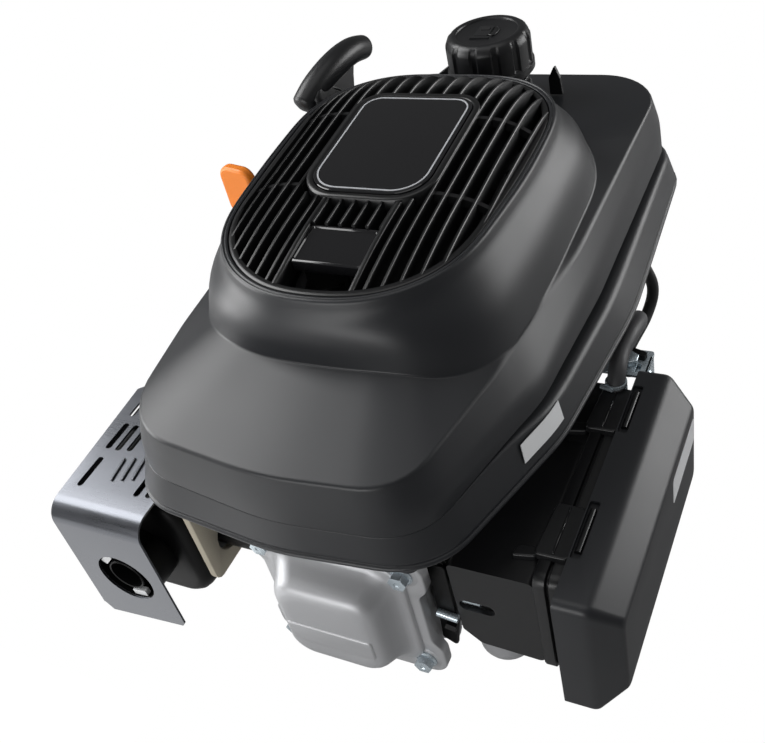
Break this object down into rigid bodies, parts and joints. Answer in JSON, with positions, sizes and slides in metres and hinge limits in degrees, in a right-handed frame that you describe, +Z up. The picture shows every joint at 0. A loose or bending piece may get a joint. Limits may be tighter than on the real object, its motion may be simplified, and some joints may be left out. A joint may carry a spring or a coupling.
{
  "type": "small gasoline engine",
  "caption": "Air-cooled single-cylinder four-stroke engine with a vertical output shaft, recoil starter, fuel tank under the top cover, muffler and side air cleaner.",
  "frame": {"origin": "on the crankshaft axis in the plane of the mounting face under the sump", "axes": "+Z up along the crankshaft, away from the output end; -Y towards the cylinder head; +X towards the air cleaner"},
  "size_m": [0.3535, 0.3992, 0.3422],
  "materials": {
    "charcoal_plastic": "fine moulded texture",
    "black_plastic": "satin",
    "gloss_black": "glossy label",
    "orange_plastic": "satin",
    "cast_aluminium": "die-cast, bead blasted",
    "zinc_plated": "blue zinc plate",
    "machined_steel": "ground",
    "shield_steel": "dark satin, brushed",
    "black_paint": "matt heat-resistant paint",
    "cast_iron": "as cast, machined faces",
    "rubber": "matt",
    "gasket_fibre": "matt fibre sheet",
    "filter_paper": "pleated paper"
  },
  "bodies": {
    "engine_block": {"sump": "cast_aluminium", "crankcase": "cast_aluminium", "head_gasket": "gasket_fibre", "cylinder_head": "cast_aluminium", "rocker_cover": "cast_aluminium", "rocker_cover_bolt_1": "zinc_plated", "rocker_cover_bolt_2": "zinc_plated", "rocker_cover_bolt_3": "zinc_plated", "rocker_cover_bolt_4": "zinc_plated", "spark_plug": "machined_steel", "spark_plug_cap": "rubber", "ignition_coil": "black_plastic", "ignition_lead": "rubber", "lower_main_bearing": "machined_steel", "upper_main_bearing": "machined_steel", "rocker_shaft": "machined_steel", "starter_housing": "black_plastic", "recoil_spring": "machined_steel", "blower_housing": "charcoal_plastic", "top_cover": "charcoal_plastic", "grille": "black_plastic", "decal_plate": "gloss_black", "fuel_tank": "black_plastic", "fuel_tank_lid": "black_plastic", "oil_filler_tube": "black_plastic", "muffler": "black_paint", "muffler_shield": "shield_steel", "exhaust_heat_shield": "gasket_fibre", "intake_insulator": "black_plastic", "carburetor_body": "cast_aluminium", "float_bowl": "zinc_plated", "air_cleaner_base": "black_plastic", "air_filter": "filter_paper", "control_bracket": "zinc_plated", "lever_screw": "zinc_plated", "fuel_hose": "rubber", "breather_hose": "rubber"},
    "crankshaft": {"crankshaft_lower": "machined_steel", "crankshaft_upper": "machined_steel", "flywheel": "cast_iron", "starter_cup": "machined_steel"},
    "camshaft": {"camshaft": "cast_iron"},
    "piston": {"piston": "cast_aluminium", "wrist_pin": "machined_steel"},
    "connecting_rod": {"connecting_rod": "cast_aluminium", "crankpin": "machined_steel"},
    "exhaust_rocker": {"exhaust_rocker": "machined_steel"},
    "exhaust_valve": {"exhaust_valve": "machined_steel"},
    "exhaust_pushrod": {"exhaust_pushrod": "machined_steel"},
    "intake_rocker": {"intake_rocker": "machined_steel"},
    "intake_valve": {"intake_valve": "machined_steel"},
    "intake_pushrod": {"intake_pushrod": "machined_steel"},
    "starter_handle": {"starter_handle": "rubber", "starter_rope": "rubber"},
    "starter_pulley": {"starter_pulley": "black_plastic"},
    "fuel_cap_seal": {"fuel_cap_seal": "rubber"},
    "fuel_cap": {"fuel_cap": "black_plastic"},
    "dipstick": {"dipstick": "orange_plastic"},
    "air_cleaner_cover": {"air_cleaner_cover": "charcoal_plastic"},
    "control_lever": {"control_lever": "zinc_plated"}
  },
  "joints": [
    {"name": "crankshaft_spin", "type": "hinge", "parent": "engine_block", "child": "crankshaft", "pos_m": [0, 0, 0.1], "axis": [0, 0, 1], "continuous": true},
    {"name": "camshaft_spin", "type": "hinge", "parent": "engine_block", "child": "camshaft", "pos_m": [-0.055, 0.031, 0.06], "axis": [0, 0, 1], "continuous": true},
    {"name": "piston_stroke", "type": "slide", "parent": "engine_block", "child": "piston", "axis": [0, 1, 0], "range_m": [-0.0294, 0.0216]},
    {"name": "rod_swing", "type": "hinge", "parent": "piston", "child": "connecting_rod", "pos_m": [0, -0.08213, 0.078], "axis": [0, 0, 1], "range_deg": [0, 34.5]},
    {"name": "exhaust_rocker_tilt", "type": "hinge", "parent": "engine_block", "child": "exhaust_rocker", "pos_m": [-0.016, -0.1585, 0.06], "axis": [0, 0, 1], "range_deg": [0, 12]},
    {"name": "exhaust_valve_lift", "type": "slide", "parent": "engine_block", "child": "exhaust_valve", "axis": [0, 1, 0], "range_m": [0, 0.0047]},
    {"name": "exhaust_pushrod_lift", "type": "slide", "parent": "engine_block", "child": "exhaust_pushrod", "axis": [0.104, -0.9946, 0], "range_m": [0, 0.0045]},
    {"name": "intake_rocker_tilt", "type": "hinge", "parent": "engine_block", "child": "intake_rocker", "pos_m": [-0.016, -0.1585, 0.096], "axis": [0, 0, 1], "range_deg": [0, 12]},
    {"name": "intake_valve_lift", "type": "slide", "parent": "engine_block", "child": "intake_valve", "axis": [0, 1, 0], "range_m": [0, 0.0047]},
    {"name": "intake_pushrod_lift", "type": "slide", "parent": "engine_block", "child": "intake_pushrod", "axis": [0.104, -0.9946, 0], "range_m": [0, 0.0045]},
    {"name": "starter_handle_pull", "type": "slide", "parent": "engine_block", "child": "starter_handle", "axis": [0, 0, 1], "range_m": [0, 0.07]},
    {"name": "starter_pulley_spin", "type": "hinge", "parent": "engine_block", "child": "starter_pulley", "pos_m": [0, 0, 0.218], "axis": [0, 0, 1], "range_deg": [0, 88]},
    {"name": "fuel_cap_lift", "type": "slide", "parent": "engine_block", "child": "fuel_cap_seal", "axis": [0, 0, 1], "range_m": [0, 0.05]},
    {"name": "fuel_cap_twist", "type": "hinge", "parent": "fuel_cap_seal", "child": "fuel_cap", "pos_m": [0, 0.141, 0.265], "axis": [0, 0, 1], "range_deg": [0, 90]},
    {"name": "dipstick_pull", "type": "slide", "parent": "engine_block", "child": "dipstick", "axis": [0, 0, 1], "range_m": [0, 0.1]},
    {"name": "air_cleaner_cover_open", "type": "hinge", "parent": "engine_block", "child": "air_cleaner_cover", "pos_m": [0.131, -0.092, 0.043], "axis": [0, 1, 0], "range_deg": [0, 90]},
    {"name": "control_lever_turn", "type": "hinge", "parent": "engine_block", "child": "control_lever", "pos_m": [0.122, 0.008, 0.1225], "axis": [0, 0, 1], "range_deg": [-20, 25]}
  ],
  "couplings": [
    {"joint": "camshaft_spin", "follows": "crankshaft_spin", "ratio": -0.5},
    {"joint": "exhaust_valve_lift", "follows": "exhaust_rocker_tilt", "m_per_rad": 0.022},
    {"joint": "exhaust_pushrod_lift", "follows": "exhaust_rocker_tilt", "m_per_rad": 0.02111},
    {"joint": "intake_valve_lift", "follows": "intake_rocker_tilt", "m_per_rad": 0.022},
    {"joint": "intake_pushrod_lift", "follows": "intake_rocker_tilt", "m_per_rad": 0.02111},
    {"joint": "starter_pulley_spin", "follows": "starter_handle_pull", "rad_per_m": 21.739}
  ]
}
